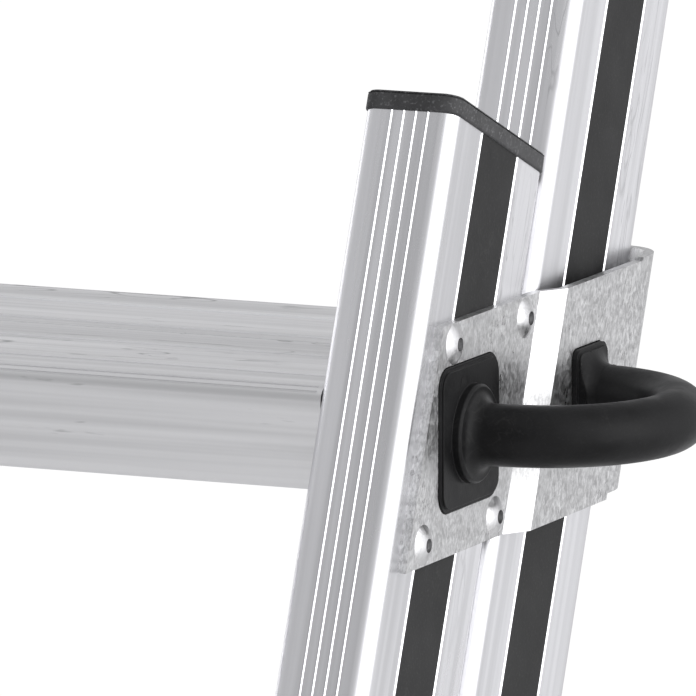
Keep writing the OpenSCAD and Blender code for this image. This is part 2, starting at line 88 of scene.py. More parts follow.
class NodeBench:
    """A node tree with short calls for the nodes that the finishes share."""

    def __init__(self, tree: bpy.types.NodeTree) -> None:
        """Take the tree that the nodes go into.

        Args:
            tree: a material's, a world's or a group's node tree.
        """
        self.tree = tree

    def add(self, kind: str, **settings: object) -> bpy.types.Node:
        """Add one node.

        Args:
            kind: the node's type name in Blender.
            settings: attributes of the node to set.

        Returns:
            The new node.
        """
        made = self.tree.nodes.new(kind)
        for key, value in settings.items():
            setattr(made, key, value)
        return made

    def wire(self, source: bpy.types.NodeSocket, target: bpy.types.NodeSocket) -> None:
        """Link an output socket to an input socket."""
        self.tree.links.new(source, target)

    def feed(self, node: bpy.types.Node, **inputs: object) -> bpy.types.Node:
        """Set or wire a node's inputs by name, with spaces written as underscores.

        Args:
            node: the node to feed.
            inputs: a value, or an output socket, for each named input.

        Returns:
            The same node.
        """
        for key, value in inputs.items():
            socket = node.inputs[key.replace("_", " ")]
            if isinstance(value, bpy.types.NodeSocket):
                self.wire(value, socket)
            else:
                socket.default_value = value
        return node

    def maths(self, operation: str, first: object, second: object = 0.0) -> bpy.types.NodeSocket:
        """Combine two numbers.

        Args:
            operation: the Math node's operation.
            first: a number or a socket.
            second: a number or a socket.

        Returns:
            The result's socket.
        """
        node = self.add("ShaderNodeMath", operation=operation)
        for socket, value in zip(node.inputs, (first, second)):
            if isinstance(value, bpy.types.NodeSocket):
                self.wire(value, socket)
            else:
                socket.default_value = value
        return node.outputs[0]

    def remap(self, value: bpy.types.NodeSocket, low: float, high: float,
              to_low: float = 0.0, to_high: float = 1.0) -> bpy.types.NodeSocket:
        """Stretch one range of a number smoothly onto another.

        Args:
            value: the number's socket.
            low: the value that becomes to_low.
            high: the value that becomes to_high.
            to_low: the result's lowest value.
            to_high: the result's highest value.

        Returns:
            The result's socket.
        """
        node = self.add("ShaderNodeMapRange", interpolation_type="SMOOTHSTEP")
        self.feed(node, Value=value, From_Min=low, From_Max=high, To_Min=to_low, To_Max=to_high)
        return node.outputs["Result"]

    def blend(self, mask: object, first: object, second: object) -> bpy.types.NodeSocket:
        """Mix two colours by a mask.

        Args:
            mask: a number or a socket from 0 to 1.
            first: the colour where the mask is 0.
            second: the colour where the mask is 1.

        Returns:
            The mixed colour's socket.
        """
        node = self.add("ShaderNodeMix", data_type="RGBA")
        for socket, value in zip((node.inputs[0], node.inputs[6], node.inputs[7]), (mask, first, second)):
            if isinstance(value, bpy.types.NodeSocket):
                self.wire(value, socket)
            else:
                socket.default_value = value
        return node.outputs[2]

    def toward(self, direction: bpy.types.NodeSocket, aim: tuple) -> bpy.types.NodeSocket:
        """Measure how nearly a direction points at an aim.

        Args:
            direction: the direction's socket.
            aim: the vector it is compared with.

        Returns:
            The cosine of the angle between them.
        """
        node = self.add("ShaderNodeVectorMath", operation="DOT_PRODUCT")
        self.wire(direction, node.inputs[0])
        node.inputs[1].default_value = Vector(aim).normalized()
        return node.outputs["Value"]

    def noise(self, vector: bpy.types.NodeSocket, scale: float, detail: float = 2.0,
              roughness: float = 0.5) -> bpy.types.NodeSocket:
        """Add a noise texture.

        Args:
            vector: the coordinates' socket.
            scale: how fine the noise is.
            detail: the number of finer layers.
            roughness: how strong those layers are.

        Returns:
            The noise's Fac socket.
        """
        node = self.add("ShaderNodeTexNoise")
        self.feed(node, Vector=vector, Scale=scale, Detail=detail, Roughness=roughness)
        return node.outputs["Fac"]

    def placed(self, vector: bpy.types.NodeSocket, turn: tuple, scale: tuple) -> bpy.types.NodeSocket:
        """Turn and stretch coordinates.

        Args:
            vector: the coordinates' socket.
            turn: rotation about X, Y and Z, in radians.
            scale: stretch along X, Y and Z after the turn.

        Returns:
            The new coordinates' socket.
        """
        turned = self.add("ShaderNodeMapping")
        self.feed(turned, Vector=vector, Rotation=turn)
        stretched = self.add("ShaderNodeMapping")
        self.feed(stretched, Vector=turned.outputs[0], Scale=scale)
        return stretched.outputs[0]


class SharedEffect:
    """A shader node group that several finishes place with their own values."""

    name = "effect"
    inputs: dict = {}
    outputs: tuple = ("Mask",)

    @classmethod
    def tree(cls) -> bpy.types.NodeTree:
        """Build the group once.

        Returns:
            The group's node tree.
        """
        ready = bpy.data.node_groups.get(cls.name)
        if ready is not None:
            return ready
        made = bpy.data.node_groups.new(cls.name, "ShaderNodeTree")
        made.interface.new_socket(name="Vector", in_out="INPUT", socket_type="NodeSocketVector")
        for title, value in cls.inputs.items():
            socket = made.interface.new_socket(name=title, in_out="INPUT", socket_type="NodeSocketFloat")
            socket.default_value = value
        for title in cls.outputs:
            made.interface.new_socket(name=title, in_out="OUTPUT", socket_type="NodeSocketFloat")
        bench = NodeBench(made)
        source = bench.add("NodeGroupInput")
        target = bench.add("NodeGroupOutput")
        for title, socket in cls.draw(bench, source.outputs).items():
            bench.wire(socket, target.inputs[title])
        return made

    @classmethod
    def draw(cls, bench: NodeBench, given: bpy.types.bpy_prop_collection) -> dict:
        """Wire the group's inside; each effect writes its own.

        Args:
            bench: the group's bench.
            given: the group's input sockets, by name.

        Returns:
            An output socket for each name in outputs.
        """
        raise NotImplementedError

    @classmethod
    def place(cls, bench: NodeBench, vector: bpy.types.NodeSocket, **values: float) -> bpy.types.Node:
        """Put the group into a material.

        Args:
            bench: the material's bench.
            vector: the coordinates' socket.
            values: the group's inputs, with spaces written as underscores.

        Returns:
            The group's node.
        """
        node = bench.add("ShaderNodeGroup", node_tree=cls.tree())
        return bench.feed(node, Vector=vector, **values)


class DrawnLines(SharedEffect):
    """Fine lines left by a die or a roller, on coordinates already stretched along them."""

    name = "drawn_lines"
    inputs = {"Fineness": 1.0}
    outputs = ("Height", "Tone")
    fine_scale = 900.0
    middling_scale = 260.0
    broad_scale = 60.0

    @classmethod
    def draw(cls, bench: NodeBench, given: bpy.types.bpy_prop_collection) -> dict:
        """Layer fine, middling and broad lines.

        Args:
            bench: the group's bench.
            given: the group's input sockets.

        Returns:
            The lines' height and their slow change of tone.
        """
        fine = bench.noise(given["Vector"], cls.fine_scale, 3.0, 0.6)
        middling = bench.noise(given["Vector"], cls.middling_scale, 2.0)
        broad = bench.noise(given["Vector"], cls.broad_scale, 1.0)
        height = bench.maths("MULTIPLY", bench.maths("ADD", fine, middling), given["Fineness"])
        tone = bench.maths("ADD", bench.maths("MULTIPLY", middling, 0.5), bench.maths("MULTIPLY", broad, 0.5))
        return {"Height": height, "Tone": bench.remap(tone, 0.35, 0.65)}


class Scuffs(SharedEffect):
    """Short scratches and rubbed spots that come with handling."""

    name = "handling_scuffs"
    inputs = {"Scale": 60.0, "Amount": 0.3}
    outputs = ("Mask",)
    ridge_half = 0.022
    patch_scale = 22.0
    spot_scale = 110.0
    spot_strength = 0.8

    @classmethod
    def draw(cls, bench: NodeBench, given: bpy.types.bpy_prop_collection) -> dict:
        """Keep thin ridges of a warped noise where a broad noise allows them, and add spots.

        Args:
            bench: the group's bench.
            given: the group's input sockets.

        Returns:
            The scuffs' mask.
        """
        node = bench.add("ShaderNodeTexNoise")
        bench.feed(node, Vector=given["Vector"], Scale=given["Scale"], Detail=2.0, Distortion=1.2)
        ridge = bench.maths("ABSOLUTE", bench.maths("SUBTRACT", node.outputs["Fac"], 0.5))
        line = bench.remap(ridge, 0.0, cls.ridge_half, 1.0, 0.0)
        where = bench.remap(bench.noise(given["Vector"], cls.patch_scale, 3.0), 0.52, 0.62)
        dots = bench.noise(given["Vector"], cls.spot_scale, 4.0, 0.7)
        spots = bench.remap(dots, 0.66, 0.73, 0.0, cls.spot_strength)
        marks = bench.maths("MAXIMUM", bench.maths("MULTIPLY", line, where), spots)
        return {"Mask": bench.maths("MULTIPLY", marks, given["Amount"])}


class Mottle(SharedEffect):
    """Cloudy change of tone, from handling marks, dust or an uneven coat."""

    name = "mottle"
    inputs = {"Scale": 20.0}
    outputs = ("Tone",)

    @classmethod
    def draw(cls, bench: NodeBench, given: bpy.types.bpy_prop_collection) -> dict:
        """Stack two sizes of cloud.

        Args:
            bench: the group's bench.
            given: the group's input sockets.

        Returns:
            The tone, from 0 to 1.
        """
        node = bench.add("ShaderNodeTexNoise")
        bench.feed(node, Vector=given["Vector"], Scale=given["Scale"], Detail=5.0, Roughness=0.62)
        return {"Tone": bench.remap(node.outputs["Fac"], 0.32, 0.68)}


class Spangle(SharedEffect):
    """The crystal flakes of a zinc coat."""

    name = "zinc_spangle"
    inputs = {"Scale": 300.0}
    outputs = ("Tone", "Height")
    warp_scale = 120.0
    warp_reach = 6.0 * MM
    grit_scale = 1500.0
    speckle_scale = 1300.0
    speckle_stretch = 0.4
    flake_share = 0.4

    @classmethod
    def draw(cls, bench: NodeBench, given: bpy.types.bpy_prop_collection) -> dict:
        """Shade each flake alone, over a fine grit.

        Args:
            bench: the group's bench.
            given: the group's input sockets.

        Returns:
            The flakes' tone and the grit's height.
        """
        warp = bench.add("ShaderNodeTexNoise")
        bench.feed(warp, Vector=given["Vector"], Scale=cls.warp_scale, Detail=3.0)
        shift = bench.add("ShaderNodeVectorMath", operation="MULTIPLY_ADD")
        bench.wire(warp.outputs["Color"], shift.inputs[0])
        shift.inputs[1].default_value = (cls.warp_reach,) * 3
        bench.wire(given["Vector"], shift.inputs[2])
        flakes = bench.add("ShaderNodeTexVoronoi")
        bench.feed(flakes, Vector=shift.outputs[0], Scale=given["Scale"])
        shade = bench.add("ShaderNodeSeparateColor")
        bench.wire(flakes.outputs["Color"], shade.inputs[0])
        grit = bench.noise(given["Vector"], cls.grit_scale, 3.0, 0.7)
        rolled = bench.placed(given["Vector"], (TILT, 0.0, 0.0), (1.0, 1.0, cls.speckle_stretch))
        speckle = bench.remap(bench.noise(rolled, cls.speckle_scale, 3.0, 0.7), 0.38, 0.62)
        both = bench.maths("ADD", bench.maths("MULTIPLY", shade.outputs[0], cls.flake_share),
                           bench.maths("MULTIPLY", speckle, 1.0 - cls.flake_share))
        return {"Tone": both, "Height": grit}


class MouldedGrain(SharedEffect):
    """The fine spark-eroded grain of moulded plastic and rubber."""

    name = "moulded_grain"
    inputs = {"Scale": 1600.0}
    outputs = ("Height",)
    haze_scale = 700.0

    @classmethod
    def draw(cls, bench: NodeBench, given: bpy.types.bpy_prop_collection) -> dict:
        """Layer rounded pits over fine noise.

        Args:
            bench: the group's bench.
            given: the group's input sockets.

        Returns:
            The grain's height.
        """
        pits = bench.add("ShaderNodeTexVoronoi", feature="SMOOTH_F1")
        bench.feed(pits, Vector=given["Vector"], Scale=given["Scale"])
        haze = bench.noise(given["Vector"], cls.haze_scale, 3.0)
        return {"Height": bench.maths("ADD", pits.outputs["Distance"], haze)}


# ---------------------------------------------------------------- finishes


@dataclass(frozen=True)
class Finish:
    """What every finish has: a name, a colour and a roughness."""

    name: str
    colour: tuple
    roughness: float

    def material(self) -> bpy.types.Material:
        """Build the material, or find it if it is there.

        Returns:
            The material.
        """
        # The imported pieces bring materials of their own, some with the same names.
        title = f"finish_{self.name}"
        ready = bpy.data.materials.get(title)
        if ready is not None:
            return ready
        made = bpy.data.materials.new(title)
        made.use_nodes = True
        bench = NodeBench(made.node_tree)
        made.node_tree.nodes.clear()
        shader = bench.add("ShaderNodeBsdfPrincipled")
        output = bench.add("ShaderNodeOutputMaterial")
        bench.wire(shader.outputs[0], output.inputs[0])
        place = bench.add("ShaderNodeTexCoord").outputs["Object"]
        self.dress(bench, shader, place)
        return made

    def dress(self, bench: NodeBench, shader: bpy.types.Node, place: bpy.types.NodeSocket) -> None:
        """Wire the finish into its shader; each finish writes its own.

        Args:
            bench: the material's bench.
            shader: the Principled shader.
            place: the object coordinates' socket.
        """
        raise NotImplementedError

    def shade(self, factor: float) -> tuple:
        """Give the finish's colour made lighter or darker.

        Args:
            factor: what each channel is multiplied by.

        Returns:
            A colour with alpha 1.
        """
        return tuple(min(1.0, channel * factor) for channel in self.colour) + (1.0,)

    @staticmethod
    def emboss(bench: NodeBench, shader: bpy.types.Node, height: bpy.types.NodeSocket,
               strength: float, depth: float) -> None:
        """Drive the shader's normal from a height.

        Args:
            bench: the material's bench.
            shader: the Principled shader.
            height: the height's socket.
            strength: the Bump node's strength.
            depth: the Bump node's distance, in metres.
        """
        bump = bench.add("ShaderNodeBump")
        bench.feed(bump, Height=height, Strength=strength, Distance=depth)
        bench.wire(bump.outputs[0], shader.inputs["Normal"])


@dataclass(frozen=True)
class MillAluminium(Finish):
    """Extruded aluminium as it leaves the die: fine lines one way, a soft sheen and small scuffs."""

    grain: Grain = Grain.ALONG_STILE
    scuffs: float = 0.35
    line_stretch: float = 0.012
    rub_stretch: float = 0.14
    line_depth: float = 0.04 * MM

    def dress(self, bench: NodeBench, shader: bpy.types.Node, place: bpy.types.NodeSocket) -> None:
        """Wire lines, tone and scuffs.

        Args:
            bench: the material's bench.
            shader: the Principled shader.
            place: the object coordinates' socket.
        """
        if self.grain is Grain.ALONG_STILE:
            lined = bench.placed(place, (TILT, 0.0, 0.0), (1.0, 1.0, self.line_stretch))
            rubbed = bench.placed(place, (TILT, 0.0, 0.0), (1.0, 1.0, self.rub_stretch))
        else:
            lined = bench.placed(place, (0.0, 0.0, 0.0), (self.line_stretch, 1.0, 1.0))
            rubbed = bench.placed(place, (0.0, 0.0, 0.0), (self.rub_stretch, 1.0, 1.0))
        lines = DrawnLines.place(bench, lined, Fineness=1.0)
        cloud = Mottle.place(bench, rubbed, Scale=26.0)
        scuff = Scuffs.place(bench, rubbed, Scale=90.0, Amount=self.scuffs)
        base = bench.blend(lines.outputs["Tone"], self.shade(0.80), self.shade(1.06))
        clouded = bench.blend(bench.remap(cloud.outputs[0], 0.2, 1.0, 0.0, 0.45), base, self.shade(0.80))
        bench.wire(bench.blend(scuff.outputs[0], clouded, self.shade(0.45)), shader.inputs["Base Color"])
        uneven = bench.remap(cloud.outputs[0], 0.0, 1.0, self.roughness - 0.05, self.roughness + 0.06)
        bench.wire(bench.maths("ADD", uneven, bench.maths("MULTIPLY", scuff.outputs[0], 0.2)),
                   shader.inputs["Roughness"])
        shader.inputs["Metallic"].default_value = 1.0
        self.emboss(bench, shader, lines.outputs["Height"], 0.35, self.line_depth)


@dataclass(frozen=True)
class ZincCoat(Finish):
    """Galvanised sheet or plated steel: zinc flakes, fine grit and rubbed patches."""

    flake: float = 330.0
    contrast: float = 0.16
    grit: float = 0.25
    grit_depth: float = 0.06 * MM

    def dress(self, bench: NodeBench, shader: bpy.types.Node, place: bpy.types.NodeSocket) -> None:
        """Wire flakes, grit and rubbed patches.

        Args:
            bench: the material's bench.
            shader: the Principled shader.
            place: the object coordinates' socket.
        """
        flakes = Spangle.place(bench, place, Scale=self.flake)
        cloud = Mottle.place(bench, place, Scale=55.0)
        scuff = Scuffs.place(bench, place, Scale=150.0, Amount=0.4)
        dark, light = self.shade(1.0 - self.contrast), self.shade(1.0 + self.contrast)
        tone = bench.blend(flakes.outputs["Tone"], dark, light)
        clouded = bench.blend(bench.remap(cloud.outputs[0], 0.0, 1.0, 0.0, 0.4), tone, self.shade(0.82))
        bench.wire(bench.blend(scuff.outputs[0], clouded, self.shade(0.6)), shader.inputs["Base Color"])
        dull = bench.remap(flakes.outputs["Tone"], 0.0, 1.0, self.roughness - 0.07, self.roughness + 0.07)
        bench.wire(bench.maths("ADD", dull, bench.maths("MULTIPLY", cloud.outputs[0], 0.08)),
                   shader.inputs["Roughness"])
        shader.inputs["Metallic"].default_value = 1.0
        self.emboss(bench, shader, flakes.outputs["Height"], self.grit, self.grit_depth)


@dataclass(frozen=True)
class MouldedBlack(Finish):
    """Black moulded plastic or rubber: a fine grain, pale dust and rubbed sheen."""

    grain_scale: float = 1600.0
    depth: float = 0.25
    dust: float = 0.12
    fleck: float = 0.5
    gloss: float = 0.2
    grain_depth: float = 0.08 * MM
    dust_colour: tuple = (0.12, 0.12, 0.115, 1.0)

    def dress(self, bench: NodeBench, shader: bpy.types.Node, place: bpy.types.NodeSocket) -> None:
        """Wire grain, dust and rubbed sheen.

        Args:
            bench: the material's bench.
            shader: the Principled shader.
            place: the object coordinates' socket.
        """
        grain = MouldedGrain.place(bench, place, Scale=self.grain_scale)
        cloud = Mottle.place(bench, place, Scale=70.0)
        scuff = Scuffs.place(bench, place, Scale=130.0, Amount=self.dust)
        tone = bench.blend(cloud.outputs[0], self.shade(0.8), self.shade(1.3))
        fleck = bench.remap(bench.noise(place, self.grain_scale, 2.0, 0.6), 0.54, 0.72, 0.0, self.fleck)
        flecked = bench.blend(fleck, tone, self.shade(5.0))
        dusty = bench.blend(scuff.outputs[0], flecked, self.dust_colour)
        bench.wire(dusty, shader.inputs["Base Color"])
        bench.wire(bench.remap(cloud.outputs[0], 0.0, 1.0, self.roughness - 0.05, self.roughness + 0.07),
                   shader.inputs["Roughness"])
        shader.inputs["Specular IOR Level"].default_value = self.gloss
        self.emboss(bench, shader, grain.outputs["Height"], self.depth, self.grain_depth)


@dataclass(frozen=True)
class StudioFloor(Finish):
    """Pale, matt studio floor."""

    def dress(self, bench: NodeBench, shader: bpy.types.Node, place: bpy.types.NodeSocket) -> None:
        """Wire a barely uneven tone.

        Args:
            bench: the material's bench.
            shader: the Principled shader.
            place: the object coordinates' socket.
        """
        cloud = Mottle.place(bench, place, Scale=1.5)
        tone = bench.blend(cloud.outputs[0], self.shade(0.985), self.shade(1.0))
        bench.wire(tone, shader.inputs["Base Color"])
        shader.inputs["Roughness"].default_value = self.roughness


STILE_METAL = MillAluminium("mill_aluminium_stile", (0.80, 0.80, 0.82), 0.32,
                            grain=Grain.ALONG_STILE, scuffs=0.6)
TREAD_METAL = MillAluminium("mill_aluminium_tread", (0.79, 0.79, 0.80), 0.36,
                            grain=Grain.ACROSS_LADDER, scuffs=0.8)
STRIP_PLASTIC = MouldedBlack("slide_strip", (0.018, 0.018, 0.0182), 0.55,
                             grain_scale=1100.0, depth=0.2, dust=0.06, fleck=0.12, gloss=0.09)
SHEET_ZINC = ZincCoat("galvanised_sheet", (0.54, 0.541, 0.544), 0.33, flake=420.0, contrast=0.34, grit=0.7)
RIVET_METAL = ZincCoat("rivet_aluminium", (0.50, 0.50, 0.505), 0.32, flake=700.0, contrast=0.12, grit=0.12)
MANDREL_STEEL = ZincCoat("rivet_mandrel", (0.20, 0.20, 0.204), 0.42, flake=900.0, contrast=0.10, grit=0.3)
PLATED_STEEL = ZincCoat("plated_fasteners", (0.56, 0.57, 0.59), 0.28, flake=800.0, contrast=0.08, grit=0.12)
YELLOW_STEEL = ZincCoat("yellow_passivated", (0.56, 0.45, 0.18), 0.32,
                        flake=500.0, contrast=0.14, grit=0.15)
GRIP_PLASTIC = MouldedBlack("grip_plastic", (0.0065, 0.0065, 0.0068), 0.40,
                            grain_scale=1300.0, depth=0.22, dust=0.04, fleck=0.12, gloss=0.10)
CAP_PLASTIC = MouldedBlack("cap_plastic", (0.038, 0.038, 0.0392), 0.50,
                           grain_scale=1000.0, depth=0.35, dust=0.10, fleck=0.35, gloss=0.14)
SOLE_RUBBER = MouldedBlack("sole_rubber", (0.020, 0.020, 0.0205), 0.72,
                           grain_scale=1200.0, depth=0.4, dust=0.1, fleck=0.3, gloss=0.12)
FLOOR_PAINT = StudioFloor("studio_floor", (0.86, 0.86, 0.86), 0.7)


# ---------------------------------------------------------------- dressing


def joined_faces(sharp: float) -> bpy.types.NodeTree:
    """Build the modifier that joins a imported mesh's faces and marks its real edges.

    Args:
        sharp: the angle, in degrees, above which an edge counts as an edge.

    Returns:
        A geometry node tree, made once for each angle.
    """
    name = f"joined_faces_{sharp:.0f}"
    ready = bpy.data.node_groups.get(name)
    if ready is not None:
        return ready
    made = bpy.data.node_groups.new(name, "GeometryNodeTree")
    for flow in ("INPUT", "OUTPUT"):
        made.interface.new_socket(name="Geometry", in_out=flow, socket_type="NodeSocketGeometry")
    bench = NodeBench(made)
    source = bench.add("NodeGroupInput")
    joined = bench.add("GeometryNodeMergeByDistance")
    bench.feed(joined, Geometry=source.outputs[0], Distance=WELD)
    bare = bench.add("GeometryNodeRemoveAttribute")
    bench.feed(bare, Geometry=joined.outputs[0], Name="custom_normal")
    smooth = bench.add("GeometryNodeSetShadeSmooth", domain="FACE")
    bench.feed(smooth, Geometry=bare.outputs[0], Shade_Smooth=True)
    angle = bench.add("GeometryNodeInputMeshEdgeAngle").outputs["Unsigned Angle"]
    creased = bench.add("GeometryNodeSetShadeSmooth", domain="EDGE")
    bench.feed(creased, Geometry=smooth.outputs[0], Shade_Smooth=False,
               Selection=bench.maths("GREATER_THAN", angle, math.radians(sharp)))
    target = bench.add("NodeGroupOutput")
    bench.wire(creased.outputs[0], target.inputs[0])
    return made


def dress_node(name: str, finish: Finish, edge: float = 0.0, sharp: float = 32.0) -> bpy.types.Object:
    """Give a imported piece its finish, welded normals and softened edges.

    Args:
        name: the piece's node.
        finish: the finish.
        edge: the width of its softened edges, in metres; 0 leaves them sharp.
        sharp: the angle, in degrees, above which an edge counts as an edge.

    Returns:
        The piece.
    """
    piece = frame["nodes"][name]
    for place in range(max(1, len(piece.material_slots))):
        if place < len(piece.material_slots):
            piece.material_slots[place].material = finish.material()
        else:
            piece.data.materials.append(finish.material())
    if edge > 0.0:
        joined = piece.modifiers.new("joined_faces", "NODES")
        joined.node_group = joined_faces(sharp)
        bevel = piece.modifiers.new("softened_edges", "BEVEL")
        bevel.width = edge
        bevel.segments = 2
        bevel.limit_method = "ANGLE"
        bevel.angle_limit = math.radians(sharp)
        bevel.use_clamp_overlap = False
        even = piece.modifiers.new("even_normals", "WEIGHTED_NORMAL")
        even.keep_sharp = True
    LOG.info("%s: %s", name, finish.name)
    return piece


def outward(side: Side) -> float:
    """Give the sign of X that points away from the ladder on a side."""
    return 1.0 if side is Side.RIGHT else -1.0


def turned_mesh(name: str, rings: list, places: list, sense: float, segments: int = 28) -> bpy.types.Mesh:
    """Turn one profile about X at several places.

    Args:
        name: the mesh's name.
        rings: pairs of distance along X and radius, in metres.
        places: the points that the profile starts from.
        sense: 1 to draw the profile towards +X, -1 towards -X.
        segments: the number of faces round each ring.

    Returns:
        The mesh.
    """
    shape = bmesh.new()
    for place in places:
        loops = []
        for x, radius in rings:
            turns = [2 * math.pi * step / segments for step in range(segments)]
            ring = [Vector((x * sense, radius * math.cos(turn), radius * math.sin(turn))) for turn in turns]
            loops.append([shape.verts.new(place + point) for point in ring])
        for first, second in zip(loops, loops[1:]):
            for step in range(segments):
                after = (step + 1) % segments
                shape.faces.new((first[step], first[after], second[after], second[step]))
    bmesh.ops.remove_doubles(shape, verts=shape.verts, dist=1e-7)
    bmesh.ops.recalc_face_normals(shape, faces=shape.faces)
    for face in shape.faces:
        face.smooth = True
    mesh = bpy.data.meshes.new(name)
    shape.to_mesh(mesh)
    shape.free()
    return mesh


def finish_piece(piece: bpy.types.Object, finish: Finish, body: str) -> None:
    """Give an added piece its finish and let it ride on a body.

    Args:
        piece: the piece, already in place.
        finish: its finish.
        body: the body that carries it.
    """
    piece.data.materials.append(finish.material())
    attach(piece, body)
    LOG.info("%s: %s on %s", piece.name, finish.name, body)


def turned_piece(name: str, profile: list, places: list, sense: float, finish: Finish, body: str) -> None:
    """Add one piece of turned shapes that ride on a body.

    Args:
        name: the piece's name.
        profile: pairs of distance along X and radius, in millimetres.
        places: the points that the profile starts from.
        sense: 1 to draw the profile towards +X, -1 towards -X.
        finish: its finish.
        body: the body that carries it.
    """
    mesh = turned_mesh(name, [(x * MM, r * MM) for x, r in profile], places, sense)
    piece = bpy.data.objects.new(name, mesh)
    bpy.context.scene.collection.objects.link(piece)
    finish_piece(piece, finish, body)


@dataclass
class Section:
    """One section of the ladder: two stiles, their strips and caps, and its treads."""

    word: str
    treads: int
    caps: tuple
    cap_edge: float = 0.6 * MM

    def build(self) -> None:
        """Dress the section's pieces."""
        for side in Side:
            dress_node(f"{self.word}_stile_{side.value}", STILE_METAL)
            dress_node(f"{self.word}_strip_{side.value}", STRIP_PLASTIC)
            for cap in self.caps:
                dress_node(f"{cap}_{side.value}", CAP_PLASTIC, self.cap_edge)
        for number in range(1, self.treads + 1):
            dress_node(f"{self.word}_tread_{number}", TREAD_METAL)


@dataclass
class BlindRivets:
    """The pulled-through mandrels in the heads of one bracket's blind rivets."""

    word: str
    body: str
    head_r: float = 6.4 * MM
    sunk: float = 1.3 * MM
    profile: tuple = ((-1.9, 0.0), (-1.9, 2.1), (-0.45, 2.1), (-0.1, 1.75), (0.0, 1.2), (-0.35, 0.7),
                      (-0.5, 0.0))

    def centres(self, side: Side) -> list:
        """Find the rivets' centres from the box round their heads.

        Args:
            side: the side of the ladder.

        Returns:
            A point at the bottom of each head's hole.
        """
        low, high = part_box(f"{self.word}_rivets_{side.value}")
        out = high.x if side is Side.RIGHT else low.x
        x = out - self.sunk * outward(side)
        bottom, top = low.z + self.head_r, high.z - self.head_r
        lean = (top - bottom) * math.tan(TILT)
        near, far = low.y + self.head_r, high.y - self.head_r
        return [Vector((x, near, bottom)), Vector((x, near + lean, top)),
                Vector((x, far - lean, bottom)), Vector((x, far, top))]

    def build(self) -> None:
        """Set a mandrel in each rivet on both sides."""
        for side in Side:
            turned_piece(f"{self.word}_mandrels_{side.value}", self.profile, self.centres(side),
                         outward(side), MANDREL_STEEL, self.body)


@dataclass
class GuideWraps:
    """The bent sheets that hold the sections together, with their rivets and glide pads."""

    bodies: dict = field(default_factory=lambda: {"guide": "lower_section", "tail": "upper_section"})
    pad_edge: float = 0.4 * MM

    def build(self) -> None:
        """Dress the sheets, the rivets and the pads."""
        for word, body in self.bodies.items():
            for side in Side:
                dress_node(f"{word}_bracket_{side.value}", SHEET_ZINC)
                dress_node(f"{word}_rivets_{side.value}", RIVET_METAL)
                dress_node(f"{word}_pads_{side.value}", CAP_PLASTIC, self.pad_edge)
            BlindRivets(word, body).build()


@dataclass
class HandGrips:
    """The moulded hand grips, with the mould's parting line on each front foot."""

    edge: float = 0.2 * MM
    foot_half: float = 22.85 * MM
    face: float = 195.3 * MM
    line_ends: tuple = ((-7.3, 19.3), (-16.9, -3.7))
    line_r: float = 0.16 * MM
    line_rings: tuple = ((0.0, 0.0), (0.02, 0.7), (0.06, 1.0), (0.94, 1.0), (0.98, 0.7), (1.0, 0.0))
    sharp: float = 40.0

    def parting_line(self, side: Side) -> None:
        """Lay a fine raised line across a front foot.

        Args:
            side: the side of the ladder.
        """
        low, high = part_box(f"handle_{side.value}")
        middle = Vector((self.face * outward(side), low.y + self.foot_half, (low.z + high.z) / 2))
        first, last = (middle + Vector((0.0, y * MM, z * MM)) for y, z in self.line_ends)
        length = (last - first).length
        profile = [(x * length, r * self.line_r) for x, r in self.line_rings]
        mesh = turned_mesh("parting_line", profile, [Vector()], 1.0, 10)
        line = bpy.data.objects.new(f"parting_line_{side.value}", mesh)
        bpy.context.scene.collection.objects.link(line)
        line.rotation_mode = "QUATERNION"
        line.rotation_quaternion = Vector((1.0, 0.0, 0.0)).rotation_difference(last - first)
        line.location = first
        finish_piece(line, GRIP_PLASTIC, "lower_section")

    def build(self) -> None:
        """Dress the grips."""
        for side in Side:
            dress_node(f"handle_{side.value}", GRIP_PLASTIC, self.edge, self.sharp)
            self.parting_line(side)


@dataclass
class BoltThreads:
    """The thread turns on the ends of the hook bolts, past the nuts."""

    across: float = 45.0 * MM
    along: float = 50.0 * MM
    turns: int = 3
    pitch: float = 0.9
    crest: float = 4.18
    root: float = 3.9
    start: float = 0.05

    def profile(self) -> list:
        """Draw the ridges, starting at the bolt's end.

        Returns:
            Pairs of distance along the bolt and radius, in millimetres.
        """
        rings = [(self.start, self.root)]
        for turn in range(self.turns):
            start = self.start + turn * self.pitch
            rings += [(start + 0.4 * self.pitch, self.crest), (start + 0.6 * self.pitch, self.crest),
                      (start + self.pitch, self.root)]
        return rings

    def build(self) -> None:
        """Turn a thread on each bolt's end."""
        for side in Side:
            low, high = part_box(f"hook_bolts_{side.value}")
            middle = (low + high) / 2
            x = low.x if side is Side.RIGHT else high.x
            centre = Vector((x, middle.y, middle.z))
            out = Vector((0.0, math.cos(TILT), -math.sin(TILT))) * self.across / 2
            up = STILE_UP * self.along / 2
            places = [centre + out * n + up * s for n in (-1, 1) for s in (-1, 1)]
            turned_piece(f"bolt_threads_{side.value}", self.profile(), places, outward(side), PLATED_STEEL,
                         "upper_section")


@dataclass
class Hardware:
    """Hooks, bolts, nuts, stops, catches, pins and feet."""

    finishes: dict = field(default_factory=lambda: {
        "hook": SHEET_ZINC,
        "hook_bolts": PLATED_STEEL,
        "hook_nuts": PLATED_STEEL,
        "pivot_pin": PLATED_STEEL,
        "catch": YELLOW_STEEL,
        "stop": CAP_PLASTIC,
        "shoe": CAP_PLASTIC,
        "sole": SOLE_RUBBER,
    })
    edge: float = 0.4 * MM

    def build(self) -> None:
        """Dress each kind of fitting on both sides."""
        for word, finish in self.finishes.items():
            for side in Side:
                dress_node(f"{word}_{side.value}", finish, self.edge)


# ---------------------------------------------------------------- studio


